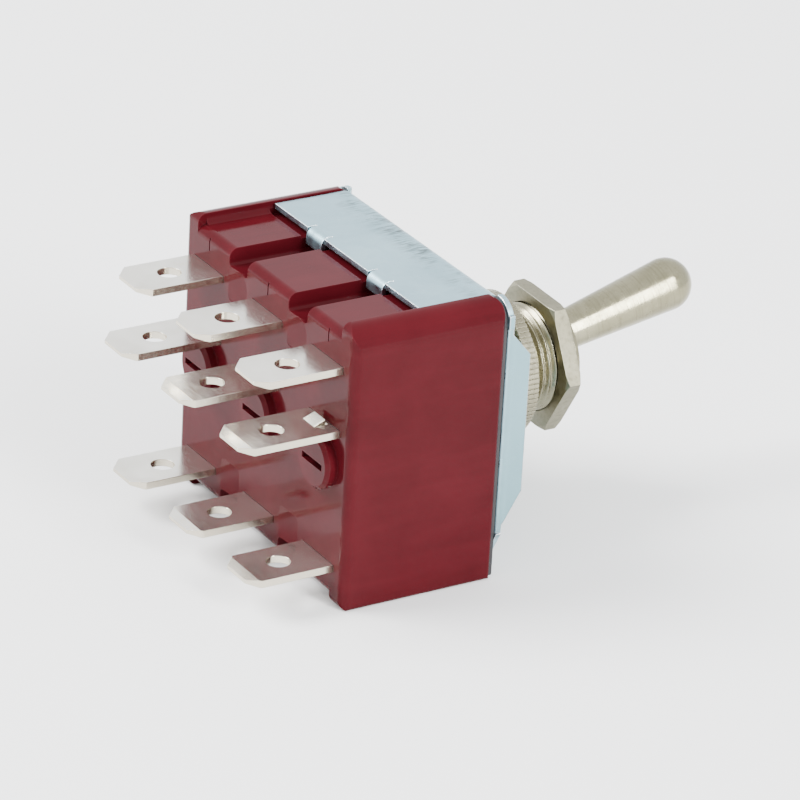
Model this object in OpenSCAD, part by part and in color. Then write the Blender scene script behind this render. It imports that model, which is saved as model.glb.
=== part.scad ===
// Three-pole panel toggle switch with flat tabs.
// +X runs out of the panel along the bushing, +Z is the way the lever flips, poles lie along Y.
// The origin is on the bushing axis, in the plane where the panel's back rests.

/* [Poles] */
// Distance between neighbouring poles
pole_pitch = 12.5; // [12.2:0.1:13.5]
// Inside width of each pole's chamber
chamber_w = 7.4; // [7.2:0.1:7.8]

// Thickness of the wall outside the end chambers
side_wall = 1.55; // [1.3:0.05:2.2]

/* [Case] */
// Depth of the case, rear face to front face
case_d = 18.0; // [17.6:0.1:20]
// Height of the pole blocks' top above the bushing axis
block_top = 15.2; // [15.0:0.1:16.5]
// Depth of the pole blocks' underside below the bushing axis
block_bottom = 14.6; // [14.4:0.1:16.0]
// How far the end cheeks stand above the pole blocks
cheek_rise = 1.2; // [1.1:0.1:2.0]
// How far the end cheeks reach below the pole blocks
cheek_drop = 0.9; // [0.6:0.1:1.2]
// Thickness of each end cheek
cheek_w = 2.65; // [2.6:0.05:3.1]
// Radius of the cheeks' outer top edges
cheek_r = 2.5; // [1.5:0.1:2.6]
// Radius of the case's rear edges
rear_r = 1.0; // [0.5:0.1:1.2]
// Thickness of the rear wall that carries the terminals
rear_wall = 2.2; // [1.8:0.1:2.6]
// Thickness of the wall above and below each chamber
roof_wall = 1.5; // [1.2:0.1:1.8]
// Width of the grooves between the pole blocks
groove_w = 3.9; // [3.6:0.1:4.2]
// Depth of the grooves between the pole blocks
groove_depth = 1.9; // [1.7:0.1:2.2]
// Diameter of the round boss behind each pole
boss_d = 6.2; // [5.0:0.1:6.6]
// How far each round boss stands out of the rear face
boss_h = 1.3; // [0.8:0.1:1.8]
// Length of the slot in each round boss
boss_slot_l = 4.0; // [3.0:0.1:4.6]

/* [Terminals] */
// Width of a tab
tab_w = 6.35; // [6.0:0.05:6.5]
// Thickness of the terminal sheet
tab_t = 0.8; // [0.7:0.05:0.9]
// Length of the upper and lower tabs behind the case
tab_l = 9.7; // [9.0:0.1:11]
// Length of the common tabs behind the case
common_l = 11.2; // [10.2:0.1:12.5]
// Diameter of the hole in each tab
tab_hole_d = 2.6; // [1.8:0.1:2.8]
// Distance of the tab hole from the tab's tip
tab_hole_inset = 4.95; // [4.0:0.05:5.4]
// Height of the upper and lower rows from the bushing axis
row_z = 11.25; // [11.0:0.05:12.0]
// Height of the common row above the bushing axis
common_z = 4.1; // [3.9:0.05:4.6]

/* [Frame] */
// Thickness of the frame sheet
frame_t = 0.6; // [0.5:0.05:0.8]
// Thickness of the insulating gasket
gasket_t = 0.35; // [0.3:0.05:0.5]
// How far the front plate stands out past each side of the case
plate_over = 0.25; // [0.1:0.05:0.6]
// Gap between each edge of a leg and the cheek beside it
leg_side_gap = 0.25; // [0.15:0.05:0.5]
// Length of the legs along the case
leg_l = 8.8; // [7.4:0.1:10]
// Gap between the top leg and the pole blocks
leg_gap = 0.4; // [0.3:0.05:0.5]
// How far the side flanges stand ahead of the front plate
flange_h = 2.15; // [1.8:0.05:2.4]
// Height of a side flange's root above the bushing axis
flange_up = 13.3; // [12:0.1:13.4]
// Depth of a side flange's root below the bushing axis
flange_down = 10.2; // [9:0.1:10.2]
// Size of the cut on the plate's lower corners
plate_cut = 5.2; // [4:0.1:5.2]

/* [Bushing and nuts] */
// Diameter of the bushing thread
thread_d = 12.0; // [11.6:0.1:12.2]
// Length of the thread ahead of the panel plane
thread_l = 14.9; // [14.6:0.1:16]
// How far the bushing's hub stands out past the thread
hub_rim = 1.3; // [0.8:0.1:1.7]
// Height of the knurled ring nut's wall above the thread
ring_wall = 1.95; // [1.3:0.05:2.5]
// Thickness of the knurled ring nut
ring_t = 1.9; // [1.5:0.1:2.4]
// Position of the ring nut ahead of the panel plane
ring_x = 6.5; // [5.5:0.1:7.5]
// Height of the hex nut's wall above the thread, at its flats
nut_wall = 1.15; // [1.0:0.05:2.0]
// Thickness of the hex nut
nut_t = 1.8; // [1.6:0.1:2.0]
// Position of the hex nut ahead of the panel plane
nut_x = 11.7; // [11.4:0.1:11.8]

/* [Lever] */
// Position of the lever's pivot ahead of the panel plane
pivot_x = 7.4; // [7.0:0.1:7.8]
// Tilt of the lever from the bushing axis at each end of its throw
throw_deg = 13.7; // [12:0.1:14]
// Length of the lever from its pivot to its tip
lever_l = 25.2; // [22:0.1:28]
// Diameter of the lever's rounded tip
lever_tip_d = 5.9; // [5.0:0.1:6.4]
// Diameter of the lever where it leaves the pivot ball
lever_neck_d = 3.7; // [3.2:0.1:3.9]
// Diameter of the lever's pivot ball
pivot_ball_d = 7.9; // [7.4:0.1:8.0]
// Distance from the pivot to the centre of the lower ball
lower_l = 12.4; // [12.2:0.1:12.6]
// Diameter of the lower ball
lower_ball_d = 3.8; // [3.4:0.1:4.0]
// Diameter of the pivot pin
pin_d = 1.8; // [1.4:0.1:2.0]

/* [Contacts] */
// Distance of the contacts from the middle of each rocker
contact_z = 8.2; // [7.8:0.1:8.4]
// Height of the contact rivets' heads on the terminals
rivet_h = 1.0; // [0.8:0.1:1.2]
// Diameter of the contact rivets' heads
rivet_d = 3.0; // [2.6:0.1:3.2]
// Width of a rocker blade
rocker_w = 4.2; // [3.8:0.1:4.3]
// Tilt of a rocker at each end of the throw
rocker_deg = 8; // [7:0.5:8]
// Diameter of a plunger
plunger_d = 3.2; // [2.8:0.1:3.4]
// Wire diameter of the plunger springs
wire_d = 0.45; // [0.35:0.05:0.5]
// Number of turns in a plunger spring
spring_turns = 5; // [4:1:6]

/* [Hidden] */
fn = 64;
over = 0.5;       // how far cutting shapes run past what they cut
slip = 0.05;      // clearance of a sliding fit, on each side
touch = 0.01;     // clearance of a press fit, on each side

poles = [pole_pitch, 0, -pole_pitch];
grooves = [pole_pitch / 2, -pole_pitch / 2];

case_w = 2 * pole_pitch + chamber_w + 2 * side_wall;
plate_w = case_w + 2 * plate_over;

// Planes along X
plate_front = -flange_h;
plate_back = plate_front - frame_t;
case_front = plate_back - gasket_t;
rear = case_front - case_d;
wall_in = rear + rear_wall;
foot_front = wall_in + tab_t;
barb_x = rear - 1.95;

// Case heights
cheek_top = block_top + cheek_rise;
cheek_low = -block_bottom - cheek_drop;
cheek_in = case_w / 2 - cheek_w;
leg_w = 2 * (cheek_in - leg_side_gap);
leg_seat = block_bottom + cheek_drop - frame_t - 0.1;   // depth of the lower leg's inner face
leg_top = block_top + leg_gap + frame_t;
leg_back = case_front - leg_l;
edge_r = 0.4;
foot_r = 0.8;      // fillet at the foot of each cheek's inner wall
front_r = 0.3;     // rounding of the cheeks' outer front edges
seat_d = 0.3;      // depth of the recess in the blocks under the top leg
seat_back = leg_back - 0.6;
nose_r = 0.8;      // rounding of the cheeks' top front corners
mark_w = 0.2;      // the fine mould marks above the upper tabs
mark_l = 1.5;
mark_depth = 0.15;
mark_up = 2.0;
slot_w = 0.7;      // the bosses' slots
slot_depth = 0.9;

// Frame bends
bend_in = 0.8;
bend_out = bend_in + frame_t;
fold_in = 0.35;
fold_out = fold_in + frame_t;
ear_gap = 0.45;
tongue_w = groove_w - 0.8;
tongue_slit = 0.2;
tongue_root = 1.1;

// Carriage and lever
throw_z = lower_l * sin(throw_deg);
ball_back = pivot_x - lower_l - lower_ball_d / 2;
carriage_front = case_front - 0.1;
bar_back = ball_back - 0.15;
bore_end = bar_back - 0.6;
bar_rear = bore_end - 0.5;
bar_half = 4.2;
bar_gap = 0.25;                    // clearance at each end of the slider's bar
bar_end = pole_pitch + chamber_w / 2 - bar_gap;
window_half = bar_half + throw_z + 0.35;
side_play = 0.3;                   // beside the lever's ball in its slot
pocket_w = 8.8;
pocket_floor = 0.6;
pocket_wall = 1.2;

// Bushing and nuts
thread_r = thread_d / 2;
hub_r = thread_r + hub_rim;
ring_r = thread_r + ring_wall;
nut_flat = thread_r + nut_wall;
nut_corner = nut_flat / cos(30);
tail_r = thread_r - 0.3;

// Rocker
blade_t = 0.8;
rise = 0.10;                       // slope of a rocker's arms away from its middle
button_h = 0.7;
trunnion_d = 1.6;
close_gap = 0.12;                  // left between a closed pair of contacts
lean = contact_z * (tan(rocker_deg) - rise);
rocker_x = foot_front + rivet_h + close_gap + button_h + lean;
nose_gap = 0.3;
nose_x = rocker_x + trunnion_d / 2 + throw_z * (rise - tan(rocker_deg)) + nose_gap;
plunger_l = 3.9;
plunger_back = nose_x + plunger_l;
barrel_back = nose_x + 2.3;
barrel_d = plunger_d + 2.4;

// Runs its children's XY profile along Z as a YZ profile along X, from x0 to x1
module along_x(x0, x1) {
    translate([x0, 0, 0]) rotate([90, 0, 90]) linear_extrude(x1 - x0) children();
}

// Runs an XZ profile along Y, from y0 to y1
module along_y(y0, y1) {
    translate([0, y1, 0]) rotate([90, 0, 0]) linear_extrude(y1 - y0) children();
}

// A round bar along X from x0 to x1
module rod_x(x0, x1, r) { translate([x0, 0, 0]) rotate([0, 90, 0]) cylinder(h = x1 - x0, r = r, $fn = fn); }

// A round bar along Y, as long each way from the middle
module rod_y(half, r) { rotate([90, 0, 0]) cylinder(h = 2 * half, r = r, center = true, $fn = fn); }

// A body turned about X from a section drawn as (radius, place along X)
module turned() { rotate([0, 90, 0]) rotate_extrude($fn = fn) children(); }

// A rectangle whose corners carry their own radii: low-left, low-right, top-right, top-left
module round_rect(a, b, r) {
    corners = [[a[0], a[1], 1, 1], [b[0], a[1], -1, 1], [b[0], b[1], -1, -1], [a[0], b[1], 1, -1]];
    difference() {
        translate(a) square(b - a);
        for (i = [0:3]) if (r[i] > 0) {
            c = corners[i];
            translate([c[0], c[1]]) scale([c[2], c[3]]) difference() {
                translate([-over, -over]) square(r[i] + over);
                translate([r[i], r[i]]) circle(r = r[i], $fn = fn);
            }
        }
    }
}

// ---- Case ----

module cheek_profile() {
    for (s = [-1, 1]) scale([s, 1])
        round_rect([cheek_in, cheek_low], [case_w / 2, cheek_top], [0, edge_r, cheek_r, 0]);
}

// A quarter-round fillet filling the corner at the origin, towards +X and +Y
module fillet(r) {
    difference() {
        translate([-touch, -touch]) square(r + touch);
        translate([r, r]) circle(r = r, $fn = fn);
    }
}

module case_solid() {
    intersection() {
        union() {
            along_x(rear, case_front) translate([-cheek_in - over, -block_bottom])
                square([2 * (cheek_in + over), block_top + block_bottom]);
            along_x(rear, case_front) cheek_profile();
        }
        linear_extrude(4 * cheek_top, center = true)
            round_rect([rear, -case_w / 2], [case_front, case_w / 2], [rear_r, front_r, front_r, rear_r]);
        union() {
            along_y(-cheek_in, cheek_in)
                round_rect([rear, -block_bottom], [case_front, block_top], [rear_r, 0, 0, rear_r]);
            for (s = [-1, 1]) scale([1, s, 1]) along_y(cheek_in, case_w / 2)
                round_rect([rear, cheek_low], [case_front, cheek_top], [rear_r, 0, nose_r, rear_r]);
        }
    }
    for (s = [-1, 1]) scale([1, s, 1]) along_x(rear + rear_r, case_front)
        translate([cheek_in, block_top]) scale([-1, 1]) fillet(foot_r);
}

module case_bosses() {
    for (y = poles) translate([0, y, 0]) difference() {
        union() {
            rod_x(rear - boss_h + edge_r, rear + edge_r, boss_d / 2);
            translate([rear - boss_h, 0, 0]) rotate([0, 90, 0])
                cylinder(h = edge_r, r1 = boss_d / 2 - edge_r, r2 = boss_d / 2, $fn = fn);
        }
        translate([rear - boss_h - over, -boss_slot_l / 2, -slot_w / 2])
            cube([over + slot_depth, boss_slot_l, slot_w]);
    }
}

module case_hollows() {
    for (y = poles) {
        translate([wall_in, y - chamber_w / 2, -block_bottom + roof_wall])
            cube([case_d, chamber_w, block_top + block_bottom - 2 * roof_wall]);
        for (z = [row_z, common_z, -row_z])
            translate([rear - over, y - tab_w / 2 - slip, z - tab_t / 2 - slip])
                cube([rear_wall + 2 * over, tab_w + 2 * slip, tab_t + 2 * slip]);
    }
    translate([bar_rear - 0.1, -bar_end - bar_gap, -window_half])
        cube([case_d, 2 * (bar_end + bar_gap), 2 * window_half]);
}

// The grooves between the blocks, top and bottom
module case_grooves() {
    for (y = grooves, s = [-1, 1]) {
        edge = s > 0 ? block_top : block_bottom;
        translate([0, y, 0]) scale([1, 1, s]) {
            along_x(rear - over, case_front + over) round_rect([-groove_w / 2, edge - groove_depth],
                [groove_w / 2, edge + cheek_rise], [0.5, 0.5, 0, 0]);
            groove_step(edge - groove_depth);
        }
    }
    // a fine mould mark above each upper tab
    for (y = poles) translate([rear - over, y - mark_w / 2, row_z + mark_up])
        cube([over + mark_depth, mark_w, mark_l]);
}

// The shallow step on the rear face below a groove: deepest at one side, running out at the other
module groove_step(top) {
    half = groove_w / 2;
    drop = 3.8;
    deepest = 0.35;
    intersection() {
        linear_extrude(2 * case_w, center = true)
            polygon([[rear - over, half], [rear, half], [rear + deepest, -half], [rear - over, -half]]);
        along_x(rear - over, rear + over)
            round_rect([-half, top - drop], [half, top + touch], [0.6, 0.6, 0, 1.5]);
    }
}

// The steps that take the frame's legs between the cheeks
module case_leg_step() {
    half = leg_w / 2 + 0.15;
    translate([seat_back, -half, -block_bottom - over])
        cube([case_d, 2 * half, block_bottom - leg_seat + leg_gap + over]);
    translate([seat_back, -half, block_top - seat_d]) cube([case_d, 2 * half, seat_d + cheek_rise]);
}

module case() color([0.62, 0.13, 0.17]) difference() {
    union() {
        case_solid();
        case_bosses();
    }
    case_hollows();
    case_grooves();
    case_leg_step();
}

// ---- Gasket ----

// It stops short of the frame's bends and of the cheeks' rounded edges
module gasket() color([0.07, 0.06, 0.07]) along_x(case_front, plate_back) difference() {
    inset = 0.2;
    low = -leg_seat + bend_in;
    union() {
        translate([-cheek_in - over, low])
            square([2 * (cheek_in + over), block_top + leg_gap - bend_in - low]);
        for (s = [-1, 1]) scale([s, 1]) round_rect([cheek_in, cheek_low + inset],
            [case_w / 2 - inset, cheek_top - 2 * inset], [0, edge_r, cheek_r - inset, 0]);
    }
    circle(r = tail_r + 1.0, $fn = fn);
}

// ---- Frame ----

// Section of the strap in XZ: top leg, front, bottom leg, with rounded bends
module strap_section() {
    low = -leg_seat - frame_t;
    run = plate_back - leg_back;
    rise_in = leg_top - low - 2 * frame_t;
    difference() {
        round_rect([leg_back, low], [plate_front, leg_top], [0, bend_out, bend_out, 0]);
        translate([leg_back - over, low + frame_t]) difference() {
            square([run + over, rise_in]);
            translate([run + over, 0]) scale([-1, 1]) fillet(bend_in);
            translate([run + over, rise_in]) scale([-1, -1]) fillet(bend_in);
        }
    }
}

// A tongue bent from a leg's rear edge down into a groove
module tongue(s) {
    base = s > 0 ? leg_top - frame_t : leg_seat;
    reach = s > 0 ? 1.2 : 0.9;
    back = leg_back - 0.2;
    scale([1, 1, s]) along_y(-tongue_w / 2, tongue_w / 2) {
        translate([back, base - reach]) square([frame_t, reach - fold_in]);
        difference() {
            round_rect([back, base - fold_in], [back + fold_out, base + frame_t], [0, 0, 0, fold_out]);
            translate([back + fold_out, base - fold_in]) circle(r = fold_in, $fn = fn);
        }
        translate([back + fold_out, base]) square([tongue_root + 0.5, frame_t]);
    }
}

// The front plate: its ears stand beside the legs, and its lower corners are cut away
module plate_profile() {
    half = plate_w / 2;
    low = -leg_seat - frame_t;
    ear_in = leg_w / 2 + ear_gap;
    difference() {
        union() {
            translate([-half, low + bend_out]) square([2 * half, leg_top - low - 2 * bend_out]);
            for (s = [-1, 1]) scale([s, 1])
                round_rect([ear_in, 0], [half, leg_top], [0, 0, half - ear_in - 0.1, 0]);
        }
        for (s = [-1, 1]) scale([s, 1])
            polygon([[half - plate_cut * 0.55, low], [half + over, low], [half + over, low + plate_cut],
                [half, low + plate_cut]]);
    }
}

// One side flange: the plate's edge folded forward, wider at its root than at its front
module side_flange(s) {
    half = plate_w / 2;
    slant_low = 4.6;
    slant_top = 3.2;
    profile = [[plate_back, -flange_down], [0, -flange_down + slant_low], [0, flange_up - slant_top],
        [plate_back, flange_up]];
    scale([1, s, 1]) intersection() {
        along_y(half - fold_out, half) polygon(profile);
        linear_extrude(2 * case_w, center = true) difference() {
            round_rect([plate_back, half - fold_out], [over, half], [0, 0, 0, fold_out]);
            translate([plate_front, half - fold_out - over]) difference() {
                square([flange_h + 2 * over, fold_in + over]);
                translate([0, fold_in + over]) scale([1, -1]) fillet(fold_in);
            }
        }
    }
}

module frame() color([0.76, 0.80, 0.83]) {
    difference() {
        union() {
            along_y(-leg_w / 2, leg_w / 2) strap_section();
            along_x(plate_back, plate_front) plate_profile();
        }
        rod_x(plate_back - over, plate_front + over, tail_r + touch);
        // the notches that free each tongue from its leg's edge
        for (y = grooves, z = [leg_top - frame_t - over, -leg_seat - frame_t - over])
            translate([leg_back - over, y - tongue_w / 2 - tongue_slit, z])
                cube([over + tongue_root, tongue_w + 2 * tongue_slit, frame_t + 2 * over]);
        // rounds the plate's rear edge where the flanges fold forward
        for (s = [-1, 1]) scale([1, s, 1]) translate([plate_back, plate_w / 2, -flange_down]) difference() {
            translate([-over, -fold_out, 0])
                cube([fold_out + over, fold_out + over, flange_up + flange_down]);
            translate([fold_out, -fold_out, -over]) cylinder(h = 2 * case_w, r = fold_out, $fn = fn);
        }
    }
    for (s = [-1, 1]) side_flange(s);
    for (y = grooves, s = [-1, 1]) translate([0, y, 0]) tongue(s);
}

// ---- Bushing and nuts ----

module bushing() color([0.78, 0.76, 0.70]) {
    seat_r = pivot_ball_d / 2 + 0.1;
    throat_r = 3.3;
    mouth_r = thread_r - 1.5;
    rim_r = tail_r + 0.65;
    rim_back = plate_back - gasket_t + 0.05;
    flare_x = pivot_x + 3.4;
    skirt_r = 4.7;
    skirt_x = pivot_x - 3.2;
    difference() {
        turned() polygon([[skirt_r, rim_back], [rim_r, rim_back], [rim_r, plate_back], [tail_r, plate_back],
            [tail_r, plate_front], [hub_r - 0.15, plate_front], [hub_r, plate_front + 0.15], [hub_r, -0.15],
            [hub_r - 0.15, 0], [thread_r, 0], [thread_r, thread_l - 0.5], [thread_r - 0.5, thread_l],
            [mouth_r, thread_l], [throat_r, flare_x], [throat_r, pivot_x], [seat_r, pivot_x],
            [seat_r, skirt_x], [skirt_r, skirt_x]]);
        translate([pivot_x, 0, 0]) sphere(r = seat_r, $fn = fn);
        translate([pivot_x, 0, 0]) rod_y(thread_r + over, pin_d / 2 + touch);
    }
}

module knurled_ring() color([0.80, 0.79, 0.76]) {
    e = 0.25;
    x1 = ring_x + ring_t;
    turned() polygon([[thread_r + touch, ring_x], [ring_r - e, ring_x], [ring_r, ring_x + e],
        [ring_r, x1 - e], [ring_r - e, x1], [thread_r + touch, x1]]);
}

// The nut's corners are chamfered on both faces, and it was run down to where its turn left it
module hex_nut() color([0.74, 0.72, 0.67]) intersection() {
    land = nut_flat + 0.55;
    fall = (nut_corner - land) * tan(25);
    x1 = nut_x + nut_t;
    turn = 1.4;
    rotate([turn, 0, 0]) along_x(nut_x, x1) circle(r = nut_corner, $fn = 6);
    turned() polygon([[thread_r + touch, nut_x], [land, nut_x], [nut_corner, nut_x + fall],
        [nut_corner, x1 - fall], [land, x1], [thread_r + touch, x1]]);
}

// ---- Lever ----

// Places its children, drawn along +X from the pivot, at the lever's rest tilt
module at_lever() {
    translate([pivot_x, 0, 0]) rotate([0, -throw_deg, 0]) children();
}

module lever() color([0.75, 0.73, 0.67]) at_lever() difference() {
    tip_r = lever_tip_d / 2;
    neck_x = 3.2;
    union() {
        sphere(r = pivot_ball_d / 2, $fn = fn);
        translate([neck_x, 0, 0]) rotate([0, 90, 0])
            cylinder(h = lever_l - tip_r - neck_x, r1 = lever_neck_d / 2, r2 = tip_r, $fn = fn);
        translate([lever_l - tip_r, 0, 0]) sphere(r = tip_r, $fn = fn);
        translate([-lower_l, 0, 0]) rotate([0, 90, 0])
            cylinder(h = lower_l - neck_x, r1 = lower_ball_d / 2 - 0.5, r2 = lever_neck_d / 2, $fn = fn);
        translate([-lower_l, 0, 0]) sphere(r = lower_ball_d / 2, $fn = fn);
    }
    rod_y(pivot_ball_d, pin_d / 2 + slip);
}

module pivot_pin() color([0.65, 0.66, 0.68]) translate([pivot_x, 0, 0]) rod_y(thread_r - 0.35, pin_d / 2);

// ---- Carriage, plungers and springs ----

// They are drawn level with the axis, then set down with the lever's lower end

module at_carriage() { translate([0, 0, -throw_z]) children(); }

module carriage() color([0.86, 0.84, 0.76]) at_carriage() difference() {
    union() {
        translate([bar_rear, -bar_end, -bar_half])
            cube([carriage_front - bar_rear, 2 * bar_end, 2 * bar_half]);
        for (y = poles) translate([0, y, 0]) rod_x(barrel_back, bore_end, barrel_d / 2);
    }
    for (y = poles) translate([0, y, 0]) rod_x(barrel_back - over, bore_end, plunger_d / 2 + slip);
    translate([bar_back, -lower_ball_d / 2 - side_play, -lower_ball_d / 2 - slip])
        cube([case_d, lower_ball_d + 2 * side_play, lower_ball_d + 2 * slip]);
    // lightening pockets either side of the lever's slot
    for (s = [-1, 1]) translate([bar_back + pocket_floor, (s - 1 / 2) * pocket_w, -bar_half + pocket_wall])
        cube([case_d, pocket_w, 2 * (bar_half - pocket_wall)]);
}

module plunger(y) color([0.83, 0.70, 0.42]) at_carriage() translate([0, y, 0]) {
    r = plunger_d / 2;
    difference() {
        translate([nose_x + r, 0, 0]) sphere(r = r, $fn = fn);
        translate([nose_x + r, -r - over, -r - over]) cube([2 * r, 2 * r + 2 * over, 2 * r + 2 * over]);
    }
    rod_x(nose_x + r - 0.001, plunger_back, r);
}

// A coil spring swept as one tube of six sides
module spring(y) color([0.70, 0.71, 0.73]) at_carriage() translate([0, y, 0]) {
    sides = 6;
    per_turn = 14;
    gap = 0.02;
    coil_r = plunger_d / 2 - wire_d / 2 - 0.1;
    x0 = plunger_back + gap + wire_d / 2;
    x1 = bore_end - gap - wire_d / 2;
    rings = spring_turns * per_turn;
    lead = atan((x1 - x0) / (spring_turns * 2 * PI * coil_r));
    points = [for (i = [0:rings]) let (a = 360 * i / per_turn, x = x0 + (x1 - x0) * i / rings)
        for (j = [0:sides - 1]) let (b = 360 * j / sides, u = wire_d / 2 * cos(b), v = wire_d / 2 * sin(b))
            [x + v * cos(lead), (coil_r + u) * cos(a) + v * sin(lead) * sin(a),
             (coil_r + u) * sin(a) - v * sin(lead) * cos(a)]];
    walls = [for (i = [0:rings - 1], j = [0:sides - 1]) let (k = (j + 1) % sides)
        [i * sides + j, (i + 1) * sides + j, (i + 1) * sides + k, i * sides + k]];
    ends = [[for (j = [0:sides - 1]) j], [for (j = [0:sides - 1]) rings * sides + sides - 1 - j]];
    polyhedron(points, concat(walls, ends), convexity = 8);
}

// ---- Rockers: drawn level, then tilted to the closed position under the lowered plunger ----

module at_rocker(y) { translate([rocker_x, y, 0]) rotate([0, rocker_deg, 0]) children(); }

// The blade bows away from its middle; its front lies level with the front of the trunnions
module rocker(y) color([0.80, 0.55, 0.35]) at_rocker(y) {
    reach = contact_z + 1.6;
    front = trunnion_d / 2;
    back = front - blade_t;
    tip = rise * reach;
    along_y(-rocker_w / 2, rocker_w / 2) polygon([[back, 0], [back + tip, reach], [front + tip, reach],
        [front, 0], [front + tip, -reach], [back + tip, -reach]]);
    for (s = [-1, 1]) translate([0, s * (rocker_w + tab_w) / 4, 0])
        rod_y((tab_w - rocker_w) / 4, trunnion_d / 2);
}

module rocker_contacts(y) color([0.88, 0.88, 0.86]) at_rocker(y)
    for (s = [-1, 1]) translate([trunnion_d / 2 - blade_t + rise * contact_z, 0, s * contact_z])
        rotate([0, s * atan(rise), 0]) rod_x(-button_h, 0, rivet_d / 2 - 0.1);

// ---- Terminals ----

// Outline of a tab in plan: cut corners at the tip
module tab_plan(l) {
    c = 1.3;
    polygon([[rear - l, -tab_w / 2 + c], [rear - l + c, -tab_w / 2], [foot_front, -tab_w / 2],
        [foot_front, tab_w / 2], [rear - l + c, tab_w / 2], [rear - l, tab_w / 2 - c]]);
}

// Section of a tab: its tip is bevelled from both faces
module tab_section(l) {
    b = 0.22;
    polygon([[rear - l, -tab_t / 2 + b], [rear - l + 1.1, -tab_t / 2], [foot_front, -tab_t / 2],
        [foot_front, tab_t / 2], [rear - l + 1.1, tab_t / 2], [rear - l, tab_t / 2 - b]]);
}

module tab(l) {
    difference() {
        intersection() {
            along_y(-tab_w / 2, tab_w / 2) tab_section(l);
            linear_extrude(4, center = true) tab_plan(l);
        }
        translate([rear - l + tab_hole_inset, 0, -2]) cylinder(h = 4, d = tab_hole_d, $fn = fn);
    }
}

// An upper or lower terminal; s is 1 for the upper row and -1 for the lower
module side_terminal(y, s) color([0.86, 0.87, 0.86]) translate([0, y, 0]) scale([1, 1, s]) difference() {
    foot_end = contact_z - rivet_d / 2 - 0.5;
    union() {
        translate([0, 0, row_z]) tab(tab_l);
        along_y(-tab_w / 2 + 0.4, tab_w / 2 - 0.4)
            round_rect([wall_in, foot_end], [foot_front, row_z + tab_t / 2], [0, 0, 0.7, 0]);
    }
    // rounds the outside of the bend across the tab's full width
    translate([foot_front, 0, row_z + tab_t / 2]) difference() {
        translate([-0.7, -tab_w, -0.7]) cube([1, 2 * tab_w, 1]);
        translate([-0.7, 0, -0.7]) rod_y(tab_w + over, 0.7);
    }
    translate([0, 0, contact_z]) rod_x(wall_in - over, foot_front + over, 0.8 + touch);
}

// A common terminal with the two ears that carry its rocker and a barb lanced from its root
module common_terminal(y) color([0.86, 0.87, 0.86]) translate([0, y, 0]) {
    common_sheet();
    translate([0, 0, common_z]) along_y(-1.1, 1.1)
        polygon([[barb_x - 0.01, -tab_t / 2], [barb_x + 1.4, 0.15], [barb_x + 1.4, 0.15 + tab_t],
            [barb_x - 0.01, tab_t / 2]]);
}

module common_sheet() difference() {
    ear_t = 0.75;
    foot_low = -2.7;
    union() {
        translate([0, 0, common_z]) tab(common_l);
        translate([wall_in, -tab_w / 2, foot_low]) cube([tab_t, tab_w, common_z + tab_t / 2 - foot_low]);
        for (s = [-1, 1]) scale([1, s, 1]) along_y(tab_w / 2 - ear_t, tab_w / 2) difference() {
            round_rect([wall_in, -2.3], [rocker_x + 0.5, 2.3], [0, 0.8, 0.8, 0]);
            translate([rocker_x, 0]) circle(r = trunnion_d / 2 + slip, $fn = fn);
            translate([rocker_x, -trunnion_d / 2 - slip]) square([2, trunnion_d + 2 * slip]);
        }
    }
    translate([barb_x, -1.2, common_z - tab_t]) cube([1.65, 2.4, 2 * tab_t]);
}

module fixed_contacts() color([0.88, 0.88, 0.86]) for (y = poles, s = [-1, 1])
    translate([0, y, s * contact_z]) {
        rod_x(foot_front, foot_front + rivet_h, rivet_d / 2);
        rod_x(wall_in + touch, foot_front + touch, 0.8);
    }

case();
gasket();
frame();
bushing();
knurled_ring();
hex_nut();
lever();
pivot_pin();
carriage();
plunger(poles[0]);  // plunger_a
plunger(poles[1]);  // plunger_b
plunger(poles[2]);  // plunger_c
spring(poles[0]);  // spring_a
spring(poles[1]);  // spring_b
spring(poles[2]);  // spring_c
rocker(poles[0]);  // rocker_a
rocker(poles[1]);  // rocker_b
rocker(poles[2]);  // rocker_c
rocker_contacts(poles[0]);  // rocker_contacts_a
rocker_contacts(poles[1]);  // rocker_contacts_b
rocker_contacts(poles[2]);  // rocker_contacts_c
side_terminal(poles[0], 1);  // upper_terminal_a
side_terminal(poles[1], 1);  // upper_terminal_b
side_terminal(poles[2], 1);  // upper_terminal_c
common_terminal(poles[0]);  // common_terminal_a
common_terminal(poles[1]);  // common_terminal_b
common_terminal(poles[2]);  // common_terminal_c
side_terminal(poles[0], -1);  // lower_terminal_a
side_terminal(poles[1], -1);  // lower_terminal_b
side_terminal(poles[2], -1);  // lower_terminal_c
fixed_contacts();
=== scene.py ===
"""Looks of a three-pole panel toggle switch with flat tabs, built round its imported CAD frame.

Everything is in metres in the frame's own axes: +X runs out of the panel along the bushing,
+Z is the way the lever points at rest, and the poles lie in a row along Y.
"""

from math import atan2, cos, pi, radians, sin

import bmesh
import bpy
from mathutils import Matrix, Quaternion, Vector


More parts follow.
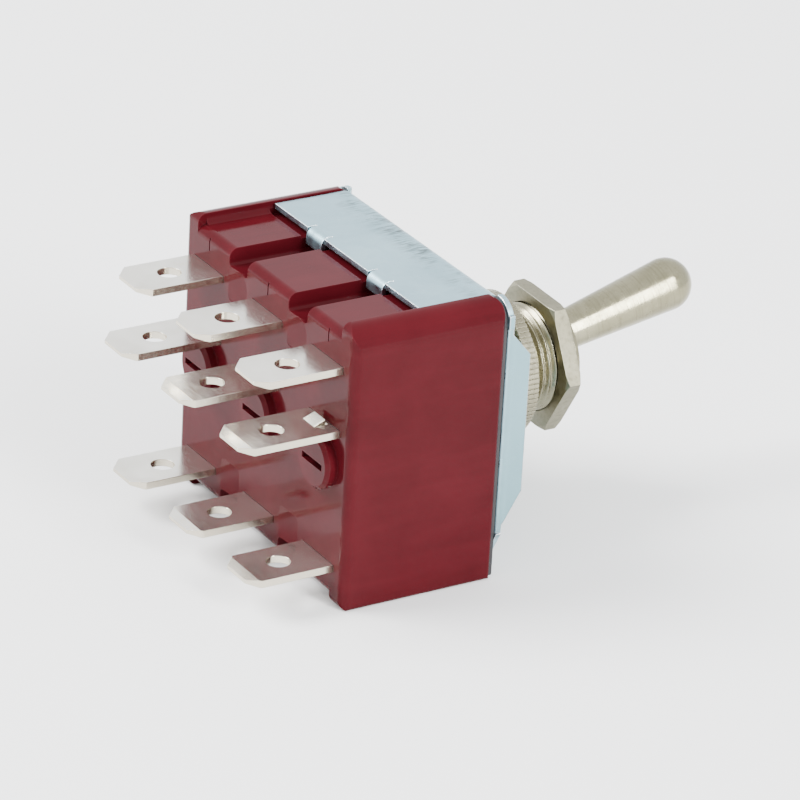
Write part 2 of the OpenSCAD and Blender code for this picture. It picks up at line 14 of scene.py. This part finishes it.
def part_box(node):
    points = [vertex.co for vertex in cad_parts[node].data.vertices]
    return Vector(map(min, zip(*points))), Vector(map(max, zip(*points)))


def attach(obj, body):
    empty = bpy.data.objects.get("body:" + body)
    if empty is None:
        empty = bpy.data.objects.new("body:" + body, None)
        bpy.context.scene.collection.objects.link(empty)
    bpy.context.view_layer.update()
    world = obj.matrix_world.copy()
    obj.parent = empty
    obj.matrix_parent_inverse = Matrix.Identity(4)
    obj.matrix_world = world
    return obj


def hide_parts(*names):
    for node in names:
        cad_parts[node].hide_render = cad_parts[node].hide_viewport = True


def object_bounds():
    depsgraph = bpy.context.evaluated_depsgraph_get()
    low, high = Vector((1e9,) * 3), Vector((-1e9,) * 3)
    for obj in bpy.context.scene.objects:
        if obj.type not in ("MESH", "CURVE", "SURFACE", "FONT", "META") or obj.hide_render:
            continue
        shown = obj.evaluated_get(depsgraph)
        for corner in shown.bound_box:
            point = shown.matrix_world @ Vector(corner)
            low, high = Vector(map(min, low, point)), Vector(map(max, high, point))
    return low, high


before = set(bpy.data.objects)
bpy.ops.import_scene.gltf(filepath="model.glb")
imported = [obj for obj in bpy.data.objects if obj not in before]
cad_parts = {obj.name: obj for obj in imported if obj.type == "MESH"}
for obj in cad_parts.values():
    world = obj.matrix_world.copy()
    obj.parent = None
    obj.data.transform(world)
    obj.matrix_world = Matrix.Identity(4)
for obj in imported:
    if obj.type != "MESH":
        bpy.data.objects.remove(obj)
cad_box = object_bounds()


# ---- Camera ----
# A long lens a little over half a metre off, behind the switch and to its right,
# looking down on it, with the slight tilt of a camera held by hand.

MM = 0.001
scene = bpy.context.scene


def place_camera():
    azimuth = radians(-32.28)
    elevation = radians(25.25)
    roll = radians(3.25)
    aim = Vector((-4.2, 0.0, -2.1)) * MM
    distance = 537 * MM
    level = cos(elevation)
    toward = Vector((-sin(azimuth) * level, cos(azimuth) * level, -sin(elevation)))
    data = bpy.data.cameras.new("camera")
    data.lens = 227.0
    data.sensor_width = 36.0
    data.clip_start = 0.02
    camera = bpy.data.objects.new("camera", data)
    scene.collection.objects.link(camera)
    camera.rotation_mode = "QUATERNION"
    camera.rotation_quaternion = toward.to_track_quat("-Z", "Y") @ Quaternion((0, 0, 1), roll)
    camera.location = aim - toward * distance
    scene.camera = camera


place_camera()


# ---- Case ----
# One glossy red moulding of filled phenolic: three pole blocks between two cheeks, with a
# slotted boss behind each pole. A painted highlight makes its sharper edges a little paler.

class Finish:
    """A surface finish fed by textures in object coordinates, so that it stays put on its piece."""

    def __init__(self, name, colour, roughness, metallic=0.0):
        self.material = bpy.data.materials.new(name)
        self.material.use_nodes = True
        self.material.diffuse_color = (*colour, 1.0)
        self.tree = self.material.node_tree
        self.shader = self.tree.nodes["Principled BSDF"]
        self.shader.inputs["Base Color"].default_value = (*colour, 1.0)
        self.shader.inputs["Roughness"].default_value = roughness
        self.shader.inputs["Metallic"].default_value = metallic
        self.place = self.add("ShaderNodeTexCoord").outputs["Object"]

    def add(self, kind, **settings):
        node = self.tree.nodes.new(kind)
        for key, value in settings.items():
            setattr(node, key, value)
        return node

    def link(self, source, target):
        self.tree.links.new(source, target)

    def feed(self, socket, source):
        self.link(source, self.shader.inputs[socket])

    def noise(self, per_metre, detail, rough, swirl=0.0, turn=(0, 0, 0)):
        """Noise with so many features per metre, alike all ways or given for X, Y and Z."""
        turned = self.add("ShaderNodeMapping")
        turned.inputs["Rotation"].default_value = turn
        self.link(self.place, turned.inputs["Vector"])
        sized = self.add("ShaderNodeMapping")
        scale = per_metre if isinstance(per_metre, tuple) else (per_metre,) * 3
        sized.inputs["Scale"].default_value = scale
        self.link(turned.outputs["Vector"], sized.inputs["Vector"])
        node = self.add("ShaderNodeTexNoise")
        node.inputs["Scale"].default_value = 1.0
        node.inputs["Detail"].default_value = detail
        node.inputs["Roughness"].default_value = rough
        node.inputs["Distortion"].default_value = swirl
        self.link(sized.outputs["Vector"], node.inputs["Vector"])
        return node.outputs["Fac"]

    def spread(self, factor, low, high, start=0.35, end=0.65):
        """Maps a factor from start..end to low..high, and holds it there outside."""
        node = self.add("ShaderNodeMapRange")
        for socket, value in zip(node.inputs[1:5], (start, end, low, high)):
            socket.default_value = value
        self.link(factor, node.inputs["Value"])
        return node.outputs["Result"]

    def product(self, first, second):
        node = self.add("ShaderNodeMath", operation="MULTIPLY")
        self.link(first, node.inputs[0])
        self.link(second, node.inputs[1])
        return node.outputs[0]

    def mix(self, factor, first, second):
        """Mixes two colours by factor; each is a tuple or an earlier mix."""
        node = self.add("ShaderNodeMix", data_type="RGBA")
        self.link(factor, node.inputs["Factor"])
        for socket, value in ((node.inputs[6], first), (node.inputs[7], second)):
            if isinstance(value, tuple):
                socket.default_value = (*value, 1.0)
            else:
                self.link(value, socket)
        return node.outputs[2]

    def along(self, axis):
        """How far a point lies along an axis, in metres."""
        parts = self.add("ShaderNodeSeparateXYZ")
        self.link(self.place, parts.inputs[0])
        return parts.outputs[axis]

    def edges(self, radius):
        """How near a point is to a sharp edge, from 0 to 1, and the rounded normal there."""
        rounded = self.add("ShaderNodeBevel", samples=8)
        rounded.inputs["Radius"].default_value = radius
        flat = self.add("ShaderNodeNewGeometry").outputs["Normal"]
        meeting = self.add("ShaderNodeVectorMath", operation="DOT_PRODUCT")
        self.link(rounded.outputs["Normal"], meeting.inputs[0])
        self.link(flat, meeting.inputs[1])
        nearness = self.spread(meeting.outputs["Value"], 1.0, 0.0, 0.78, 0.95)
        return nearness, rounded.outputs["Normal"]

    def steepness(self, axis):
        """The size of the true normal's part along an axis: 1 on faces square to it."""
        parts = self.add("ShaderNodeSeparateXYZ")
        self.link(self.add("ShaderNodeNewGeometry").outputs["True Normal"], parts.inputs[0])
        return self.size_of(parts.outputs[axis])

    def size_of(self, value):
        node = self.add("ShaderNodeMath", operation="ABSOLUTE")
        self.link(value, node.inputs[0])
        return node.outputs[0]

    def bump(self, heights, normal=None):
        """Chains bumps, each (height, depth in metres), onto the shader's normal."""
        for height, depth in heights:
            node = self.add("ShaderNodeBump")
            node.inputs["Strength"].default_value = 1.0
            node.inputs["Distance"].default_value = depth
            self.link(height, node.inputs["Height"])
            if normal is not None:
                self.link(normal, node.inputs["Normal"])
            normal = node.outputs["Normal"]
        self.feed("Normal", normal)


def dress(names, finish):
    """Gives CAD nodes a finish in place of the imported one."""
    for name in names:
        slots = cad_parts[name].data.materials
        slots.clear()
        slots.append(finish.material)


def moulded_red():
    skin = Finish("moulded_red", (0.052, 0.0035, 0.0067), 0.11)
    skin.shader.inputs["Specular IOR Level"].default_value = 0.07
    deep = (0.041, 0.0028, 0.0047)
    plain = (0.052, 0.0040, 0.0065)
    streak = (0.063, 0.0054, 0.0085)
    painted_edge_highlight = (0.10, 0.017, 0.023)
    cloud = skin.noise(120, 4, 0.6, 0.6)
    flow = skin.noise((50, 300, 420), 3, 0.55, 0.4)
    body = skin.mix(skin.spread(cloud, 0.0, 1.0, 0.3, 0.7), deep, plain)
    body = skin.mix(skin.spread(flow, 0.0, 0.5, 0.45, 0.75), body, streak)
    # Painted highlight: the sharper edges are paler, where their small radii would catch light.
    edge, _ = skin.edges(0.34 * MM)
    body = skin.mix(skin.spread(edge, 0.0, 0.35, 0.0, 1.0), body, painted_edge_highlight)
    skin.feed("Base Color", body)
    skin.feed("Roughness", skin.spread(skin.noise(380, 5, 0.6), 0.07, 0.14))
    skin.bump([(skin.noise(90, 1, 0.5), 0.02 * MM)])
    return skin


dress(["case"], moulded_red())


# ---- Gasket ----
# A sheet of black fibre cut to the case's outline. It keeps the frame off the chambers and
# is clamped between case and frame.

def black_fibre():
    skin = Finish("black_fibre", (0.012, 0.011, 0.012), 0.6)
    grain = skin.noise(2400, 4, 0.6)
    black = (0.004, 0.003, 0.004)
    dusty = (0.02, 0.018, 0.02)
    skin.feed("Base Color", skin.mix(grain, black, dusty))
    skin.bump([(grain, 0.01 * MM)])
    return skin


dress(["gasket"], black_fibre())


# ---- Frame ----
# One strap of sheet steel, blanked, folded and plated with bright zinc, with painted shade on its
# flanges and a painted highlight along its edges.
# Tongues are crimped into the case's grooves, and the dies left grey marks at the top bend.

def bright_zinc():
    skin = Finish("bright_zinc", (0.36, 0.55, 0.63), 0.3, 1.0)
    dull = (0.33, 0.51, 0.58)
    bright = (0.43, 0.62, 0.69)
    fleck = (0.28, 0.42, 0.47)
    mark = (0.11, 0.15, 0.16)
    painted_flange_shade = (0.18, 0.31, 0.345)
    zinc_edge_highlight = (0.93, 0.92, 0.93)
    cloud = skin.noise(90, 4, 0.6, 0.5)
    fine = skin.noise(420, 5, 0.62, 0.5)
    rolled = skin.noise((160, 5200, 5200), 3, 0.6)
    tint = skin.mix(skin.spread(cloud, 0.0, 1.0, 0.32, 0.68), dull, bright)
    tint = skin.mix(skin.spread(fine, 0.0, 0.35, 0.45, 0.8), tint, fleck)
    near_bend = skin.product(skin.spread(skin.along("X"), 0.0, 1.0, -6.6 * MM, -4.4 * MM),
                             skin.spread(skin.along("Z"), 0.0, 1.0, 15.8 * MM, 16.1 * MM))
    smears = skin.spread(skin.noise((420, 3200, 3200), 3, 0.6, 0.6), 0.0, 1.0, 0.44, 0.62)
    patches = skin.spread(skin.noise(190, 3, 0.6), 0.0, 1.0, 0.36, 0.56)
    marks = skin.product(skin.product(smears, near_bend), patches)
    tint = skin.mix(marks, tint, mark)
    # Painted shade: the flanges, out at the sides in Y, are darker.
    aside = skin.size_of(skin.along("Y"))
    tint = skin.mix(skin.spread(aside, 0.0, 0.8, 17.5 * MM, 17.8 * MM), tint, painted_flange_shade)
    edge, rounded = skin.edges(0.17 * MM)
    # Painted highlight: near-white along the sharp edges and bends.
    tint = skin.mix(skin.spread(edge, 0.0, 0.8, 0.0, 1.0), tint, zinc_edge_highlight)
    skin.feed("Base Color", tint)
    skin.feed("Roughness", skin.spread(fine, 0.26, 0.42))
    skin.bump([(cloud, 0.03 * MM), (rolled, 0.0012 * MM)], rounded)
    return skin


dress(["frame"], bright_zinc())


# ---- Bushing ----
# Turned from brass bar and nickel plated, with a hub, a fine V thread and a coned mouth, and
# staked into the frame. The thread is cut into the turned blank by a Geometry Nodes group.

def nickel(name, rough, marks, tilt=0.0, cut=0.003, streaks=0.15,
           plate=((0.25, 0.23, 0.155), (0.32, 0.30, 0.215)), root=None, crest=None):
    """Nickel plate in two clouded shades over tool marks, so many per metre along X, Y and Z.

    The marks are turned by tilt about Y, cut so many mm deep, and stained by streaks. Sharp
    edges get a painted highlight. Where a root and a crest radius are given, painted shade
    darkens the surface towards the root."""
    pit = (0.16, 0.14, 0.085)
    streak = (0.15, 0.135, 0.085)
    painted_edge_highlight = (0.52, 0.50, 0.40)
    # Painted shade for the roots of threads and knurls, in two clouded tones.
    painted_root_shade = (0.20, 0.185, 0.12)
    thin_painted_root_shade = (0.29, 0.27, 0.18)
    skin = Finish(name, (0.27, 0.25, 0.165), 0.2, 1.0)
    rings = skin.noise(marks, 3, 0.6, 0.0, (0, tilt, 0))
    stain = skin.noise(200, 4, 0.6, 0.4)
    tint = skin.mix(skin.spread(stain, 0.0, 1.0, 0.3, 0.7), *plate)
    pits = skin.spread(skin.noise(1900, 3, 0.6), 0.0, 0.45, 0.6, 0.72)
    tint = skin.mix(pits, tint, pit)
    tint = skin.mix(skin.spread(rings, 0.0, streaks, 0.5, 0.72), tint, streak)
    edge, rounded = skin.edges(0.1 * MM)
    # Painted highlight: paler along the sharp edges.
    tint = skin.mix(skin.spread(edge, 0.0, 0.6, 0.0, 1.0), tint, painted_edge_highlight)
    # Painted shade: darker towards the root radius, in the hollows of the thread or knurl.
    if root is not None:
        flat = skin.add("ShaderNodeVectorMath", operation="MULTIPLY")
        flat.inputs[1].default_value = (0.0, 1.0, 1.0)
        skin.link(skin.place, flat.inputs[0])
        radius = skin.add("ShaderNodeVectorMath", operation="LENGTH")
        skin.link(flat.outputs[0], radius.inputs[0])
        low = skin.mix(skin.spread(stain, 0.0, 1.0, 0.3, 0.7), painted_root_shade, thin_painted_root_shade)
        height = skin.spread(radius.outputs["Value"], 0.0, 1.0, root * MM, crest * MM)
        tint = skin.mix(height, low, tint)
    skin.feed("Base Color", tint)
    skin.feed("Roughness", skin.spread(skin.noise(1300, 4, 0.6), *rough))
    skin.bump([(rings, cut * MM)], rounded)
    return skin


def revolve(name, profile, segments):
    """A closed ring about X from (x, radius) points in mm that run once round its section."""
    mesh = bpy.data.meshes.new(name)
    turned = bmesh.new()
    angles = [2 * pi * k / segments for k in range(segments)]
    rings = []
    for x, radius in profile:
        places = [(x * MM, radius * cos(a) * MM, radius * sin(a) * MM) for a in angles]
        rings.append([turned.verts.new(place) for place in places])
    for first, second in zip(rings, rings[1:] + rings[:1]):
        for k in range(segments):
            after = (k + 1) % segments
            turned.faces.new((first[k], first[after], second[after], second[k]))
    bmesh.ops.recalc_face_normals(turned, faces=turned.faces)
    turned.to_mesh(mesh)
    turned.free()
    piece = bpy.data.objects.new(name, mesh)
    scene.collection.objects.link(piece)
    return piece


def shade(piece, degrees):
    """Smooth shading, split where faces meet at more than so many degrees."""
    for polygon in piece.data.polygons:
        polygon.use_smooth = True
    piece.data.set_sharp_from_angle(angle=radians(degrees))


class Group:
    """A Geometry Nodes group that takes a shape, named numbers and the material to paint it."""

    def __init__(self, name, shape, numbers):
        self.tree = bpy.data.node_groups.new(name, "GeometryNodeTree")
        self.labels = {}
        self.offer(shape, "INPUT", "Geometry")
        for label, kind in numbers.items():
            self.offer(label, "INPUT", kind)
        self.offer("Material", "INPUT", "Material")
        self.offer("Result", "OUTPUT", "Geometry")
        self.inputs = self.add("NodeGroupInput").outputs

    def offer(self, label, side, kind):
        sockets = self.tree.interface
        socket = sockets.new_socket(label, in_out=side, socket_type="NodeSocket" + kind)
        self.labels[label] = socket.identifier

    def plug(self, socket, value):
        """Sets a socket to a number, or links another node's output to it."""
        if isinstance(value, (int, float)):
            socket.default_value = value
        else:
            self.tree.links.new(value, socket)

    def add(self, kind, **values):
        """A new node, with values plugged into its inputs by name."""
        node = self.tree.nodes.new(kind)
        for label, value in values.items():
            self.plug(node.inputs[label], value)
        return node

    def maths(self, operation, *values):
        node = self.add("ShaderNodeMath")
        node.operation = operation
        for socket, value in zip(node.inputs, values):
            self.plug(socket, value)
        return node.outputs[0]

    def vector(self, x, y, z):
        return self.add("ShaderNodeCombineXYZ", X=x, Y=y, Z=z).outputs[0]

    def close(self, shape):
        """Paints the shape and hands it out."""
        paint = self.add("GeometryNodeSetMaterial", Geometry=shape, Material=self.inputs["Material"])
        self.add("NodeGroupOutput", Result=paint.outputs[0])

    def apply(self, piece, material, values):
        """Runs the group on a piece, and leaves the piece as a plain mesh of one material."""
        modifier = piece.modifiers.new(self.tree.name, "NODES")
        modifier.node_group = self.tree
        modifier[self.labels["Material"]] = material
        for label, value in values.items():
            modifier[self.labels[label]] = value
        bpy.context.view_layer.update()
        evaluated = piece.evaluated_get(bpy.context.evaluated_depsgraph_get())
        mesh = bpy.data.meshes.new_from_object(evaluated)
        piece.modifiers.clear()
        piece.data = mesh
        mesh.materials.clear()
        mesh.materials.append(material)


def thread_cutter():
    """A group that pulls a blank's surface in along a V-shaped helix about X."""
    lengths = ("Pitch", "Depth", "Start", "End", "Least Radius")
    group = Group("thread_cutter", "Blank", {label: "Float" for label in lengths})
    maths = group.maths
    given = group.inputs
    here = group.add("GeometryNodeInputPosition").outputs[0]
    x, y, z = group.add("ShaderNodeSeparateXYZ", Vector=here).outputs
    turns = maths("DIVIDE", maths("ARCTAN2", z, y), 2 * pi)
    phase = maths("FRACT", maths("SUBTRACT", maths("DIVIDE", x, given["Pitch"]), turns))
    wave = maths("ABSOLUTE", maths("SUBTRACT", maths("MULTIPLY", phase, 2.0), 1.0))
    cut = maths("MULTIPLY", maths("SUBTRACT", 1.0, wave), given["Depth"])
    radius = maths("SQRT", maths("ADD", maths("MULTIPLY", y, y), maths("MULTIPLY", z, z)))
    ahead = maths("GREATER_THAN", x, given["Start"])
    behind = maths("LESS_THAN", x, given["End"])
    outside = maths("GREATER_THAN", radius, given["Least Radius"])
    chosen = maths("MULTIPLY", maths("MULTIPLY", ahead, behind), outside)
    shrink = maths("SUBTRACT", 1.0, maths("DIVIDE", maths("MULTIPLY", cut, chosen), radius))
    there = group.vector(x, maths("MULTIPLY", y, shrink), maths("MULTIPLY", z, shrink))
    moved = group.add("GeometryNodeSetPosition", Geometry=given["Blank"], Position=there)
    group.close(moved.outputs[0])
    return group


def make_bushing(plate):
    low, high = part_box("bushing")
    tail = low.x / MM
    nose = high.x / MM
    hub = high.y / MM
    chamfer = 0.12
    rim_chamfer = 0.15
    neck = 5.7
    staked = 6.35
    rolled_in = 0.25
    rolled_edge = 0.08
    plate_back = -2.76
    plate_front = -2.15
    thread = 6.0
    pitch = 0.8
    depth = 0.42
    steps_per_turn = 10
    first = 0.25
    last = nose - 0.5
    lead_in = 0.3
    count = int((last - first) / pitch * steps_per_turn)
    nose_edge = 0.06
    nose_drop = 0.6
    nose_round = 0.14
    mouth = 4.5
    pivot = 7.4
    cone_end = pivot + 3.4
    throat = 3.3
    seat = 4.05
    seat_start = 4.2
    seat_steps = 6
    bore = 4.7
    bore_edge = 0.3
    slack = 0.01
    outside = [(tail, bore + bore_edge), (tail, staked - rolled_in),
               (tail + rolled_edge, staked - rolled_edge), (plate_back, staked),
               (plate_back, neck), (plate_front, neck), (plate_front, hub - chamfer),
               (plate_front + chamfer, hub), (-rim_chamfer, hub), (0.0, hub - rim_chamfer),
               (0.0, thread)]
    outside += [(first + (last - first) * k / count, thread) for k in range(count + 1)]
    outside += [(nose - nose_edge, thread - nose_drop + nose_round), (nose, thread - nose_drop),
                (nose, mouth + chamfer), (nose - nose_edge, mouth)]
    ball_mouth = (seat ** 2 - throat ** 2) ** 0.5
    reach = atan2(throat, ball_mouth)
    angles = [reach + (pi / 2 - reach) * k / seat_steps for k in range(1, seat_steps + 1)]
    inside = [(cone_end, throat), (pivot + ball_mouth, throat)]
    inside += [(pivot + seat * cos(a), seat * sin(a)) for a in angles]
    inside += [(seat_start, seat), (seat_start, bore), (tail + slack, bore)]
    piece = revolve("bushing_turned", outside + inside, segments=160)
    thread_cutter().apply(piece, plate.material, {
        "Pitch": pitch * MM, "Depth": depth * MM, "Start": (first + lead_in) * MM,
        "End": (last + slack) * MM, "Least Radius": neck * MM})
    shade(piece, 40)
    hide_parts("bushing")
    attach(piece, "switch_body")


make_bushing(nickel("bushing_nickel", (0.2, 0.3), (5200, 40, 40), root=5.58, crest=5.9))


# ---- Ring nut ----
# A thin nickel-plated ring with a fine straight knurl, run onto the thread behind the panel.
# A Geometry Nodes group repeats one tooth of the knurl round its rim.

def straight_knurl():
    """A group that sets teeth along X round a ring about X, and joins them to it."""
    lengths = ("Rim Radius", "Tooth Side", "Tooth Length", "Middle")
    group = Group("straight_knurl", "Ring", {"Teeth": "Int", **{label: "Float" for label in lengths}})
    maths = group.maths
    given = group.inputs
    index = group.add("GeometryNodeInputIndex").outputs[0]
    angle = maths("DIVIDE", maths("MULTIPLY", index, 2 * pi), given["Teeth"])
    across = maths("MULTIPLY", maths("COSINE", angle), given["Rim Radius"])
    up = maths("MULTIPLY", maths("SINE", angle), given["Rim Radius"])
    rim = group.add("GeometryNodePoints", Count=given["Teeth"],
                    Position=group.vector(given["Middle"], across, up))
    side = given["Tooth Side"]
    tooth = group.add("GeometryNodeMeshCube", Size=group.vector(given["Tooth Length"], side, side))
    teeth = group.add("GeometryNodeInstanceOnPoints", Points=rim.outputs[0],
                      Instance=tooth.outputs["Mesh"], Rotation=group.vector(angle, 0.0, 0.0))
    real = group.add("GeometryNodeRealizeInstances", Geometry=teeth.outputs[0])
    join = group.add("GeometryNodeJoinGeometry", Geometry=given["Ring"])
    group.plug(join.inputs[0], real.outputs[0])
    group.close(join.outputs[0])
    return group


def make_ring(plate):
    low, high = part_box("knurled_ring")
    back = low.x / MM
    front = high.x / MM
    crown = high.z / MM
    teeth = 88
    tooth = 0.4
    relief = 0.14
    root = crown - relief
    bore = 6.02
    bore_chamfer = 0.3
    chamfer = 0.25
    lip = 0.06
    lip_drop = 0.35
    face_drop = 0.6
    section = [(back, bore + bore_chamfer), (back, root - face_drop), (back + lip, root - lip_drop),
               (back + chamfer, root), (front - chamfer, root), (front - lip, root - lip_drop),
               (front, root - face_drop), (front, bore + bore_chamfer),
               (front - bore_chamfer, bore), (back + bore_chamfer, bore)]
    piece = revolve("knurled_ring_nut", section, segments=180)
    straight_knurl().apply(piece, plate.material, {
        "Teeth": teeth, "Rim Radius": (crown - tooth / 2) * MM, "Tooth Side": tooth * MM,
        "Tooth Length": (front - back - 2 * chamfer) * MM, "Middle": (front + back) / 2 * MM})
    shade(piece, 25)
    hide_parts("knurled_ring")
    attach(piece, "switch_body")


make_ring(nickel("ring_nickel", (0.22, 0.34), (2600, 300, 300), root=7.76, crest=7.9))


# ---- Hex nut ----
# A thin nut pressed from strip and nickel plated, its corners chamfered on both faces. It
# holds the switch to its panel against the ring nut, and its plate is dull and grainy.

dress(["hex_nut"], nickel("nut_nickel", (0.30, 0.46), (2200, 2200, 2200), cut=0.008, streaks=0.55,
                          plate=((0.22, 0.205, 0.14), (0.28, 0.265, 0.19))))


# ---- Lever ----
# A bat lever turned from brass, nickel plated, that rocks on a cross pin. Fine turning marks
# run round it, square to its length.

lean = radians(13.7)
dress(["lever"], nickel("lever_nickel", (0.17, 0.28), (3600, 110, 110), lean, cut=0.014,
                        streaks=0.5, plate=((0.22, 0.205, 0.13), (0.32, 0.30, 0.205))))


# ---- Terminals ----
# Nine tabs stamped from brass strip and tin plated, with cut corners, a bevelled tip and a
# round hole. Painted shade darkens their sides, a painted highlight pales their edges, and
# the common ones have a barb at their root.

def bright_tin():
    skin = Finish("bright_tin", (0.84, 0.83, 0.78), 0.2, 0.96)
    edge, rounded = skin.edges(0.08 * MM)
    dull = (0.74, 0.71, 0.635)
    bright = (0.90, 0.875, 0.81)
    painted_edge_highlight = (0.90, 0.87, 0.79)
    painted_side_shade = (0.58, 0.53, 0.43)
    cloud = skin.noise(260, 4, 0.6, 0.5)
    tint = skin.mix(skin.spread(cloud, 0.0, 1.0, 0.3, 0.7), dull, bright)
    # Painted highlight along the sharp edges.
    tint = skin.mix(skin.spread(edge, 0.0, 0.6, 0.0, 1.0), tint, painted_edge_highlight)
    # Painted shade on the faces that stand on edge rather than facing up or down.
    tint = skin.mix(skin.spread(skin.steepness("Z"), 1.0, 0.0, 0.5, 0.9), tint, painted_side_shade)
    skin.feed("Base Color", tint)
    skin.feed("Roughness", skin.spread(skin.noise((2600, 500, 500), 3, 0.6), 0.17, 0.23))
    skin.bump([(skin.noise(180, 1, 0.5), 0.006 * MM)], rounded)
    return skin


rows = ("upper", "common", "lower")
dress([f"{row}_terminal_{pole}" for row in rows for pole in "abc"], bright_tin())


# ---- Inner pieces ----
# The cross pin, the moulded slider, its sprung plungers, the rocking blades and the silver
# contacts are all closed in by the case and show only where an opening lets one look in.

def plain_metal(name, colour, rough, grain):
    skin = Finish(name, colour, rough, 1.0)
    cloud = skin.noise(grain, 4, 0.6)
    darker = tuple(0.86 * c for c in colour)
    skin.feed("Base Color", skin.mix(cloud, darker, colour))
    skin.feed("Roughness", skin.spread(cloud, rough - 0.06, rough + 0.1))
    skin.bump([(skin.noise(grain * 6, 2, 0.5), 0.001 * MM)])
    return skin


def natural_plastic():
    skin = Finish("natural_plastic", (0.62, 0.58, 0.46), 0.45)
    cloud = skin.noise(300, 4, 0.6)
    amber = (0.56, 0.51, 0.40)
    milky = (0.66, 0.62, 0.51)
    skin.feed("Base Color", skin.mix(cloud, amber, milky))
    skin.feed("Roughness", skin.spread(cloud, 0.38, 0.52))
    skin.bump([(skin.noise(1800, 2, 0.5), 0.003 * MM)])
    return skin


dress(["pivot_pin", "spring_a", "spring_b", "spring_c"],
      plain_metal("drawn_steel", (0.50, 0.52, 0.55), 0.28, 900))
dress(["carriage"], natural_plastic())
dress(["plunger_a", "plunger_b", "plunger_c"],
      plain_metal("turned_brass", (0.74, 0.52, 0.20), 0.26, 700))
dress(["rocker_a", "rocker_b", "rocker_c"],
      plain_metal("copper_strip", (0.70, 0.36, 0.20), 0.3, 500))
dress(["fixed_contacts", "rocker_contacts_a", "rocker_contacts_b", "rocker_contacts_c"],
      plain_metal("contact_silver", (0.80, 0.79, 0.76), 0.24, 1200))


# ---- Studio ----
# A white sweep that the cheeks stand on, in a pale room, with a tall soft box to the right
# of the camera and a broad one high up to its left.

def make_floor():
    mesh = bpy.data.meshes.new("floor")
    half = 3.0
    level = cad_box[0][2]
    corners = [(x * half, y * half, level) for x, y in ((-1, -1), (1, -1), (1, 1), (-1, 1))]
    mesh.from_pydata(corners, [], [(0, 1, 2, 3)])
    floor = bpy.data.objects.new("floor", mesh)
    scene.collection.objects.link(floor)
    paper = Finish("white_sweep", (0.9, 0.9, 0.9), 0.9)
    grain = paper.noise(40, 2, 0.5)
    paper.feed("Base Color", paper.mix(grain, (0.83, 0.83, 0.83), (0.85, 0.85, 0.85)))
    mesh.materials.append(paper.material)


def make_room():
    world = bpy.data.worlds.new("room")
    scene.world = world
    world.use_nodes = True
    tree = world.node_tree
    back = tree.nodes["Background"]
    where = tree.nodes.new("ShaderNodeTexCoord")
    height = tree.nodes.new("ShaderNodeSeparateXYZ")
    shades = tree.nodes.new("ShaderNodeValToRGB")
    stops = shades.color_ramp.elements
    stops[0].position = 0.05
    stops[0].color = (0.97, 1.0, 1.04, 1.0)
    stops[1].position = 0.8
    stops[1].color = (0.82, 0.83, 0.84, 1.0)
    tree.links.new(where.outputs["Generated"], height.inputs[0])
    tree.links.new(height.outputs["Z"], shades.inputs[0])
    tree.links.new(shades.outputs[0], back.inputs["Color"])
    back.inputs["Strength"].default_value = 2.35


def make_light(name, place, size, power):
    """A soft box turned to the switch; place and size in metres, power in watts."""
    data = bpy.data.lights.new(name, "AREA")
    data.shape = "RECTANGLE"
    data.size = size[0]
    data.size_y = size[1]
    data.energy = power
    lamp = bpy.data.objects.new(name, data)
    scene.collection.objects.link(lamp)
    lamp.location = place
    lamp.rotation_mode = "QUATERNION"
    lamp.rotation_quaternion = (-Vector(place)).to_track_quat("-Z", "Y")


make_floor()
make_room()
make_light("tall_box", (0.19, -0.88, 0.43), (0.22, 0.8), 20.0)
make_light("high_box", (-0.6, 0.4, 0.7), (0.5, 0.5), 24.0)
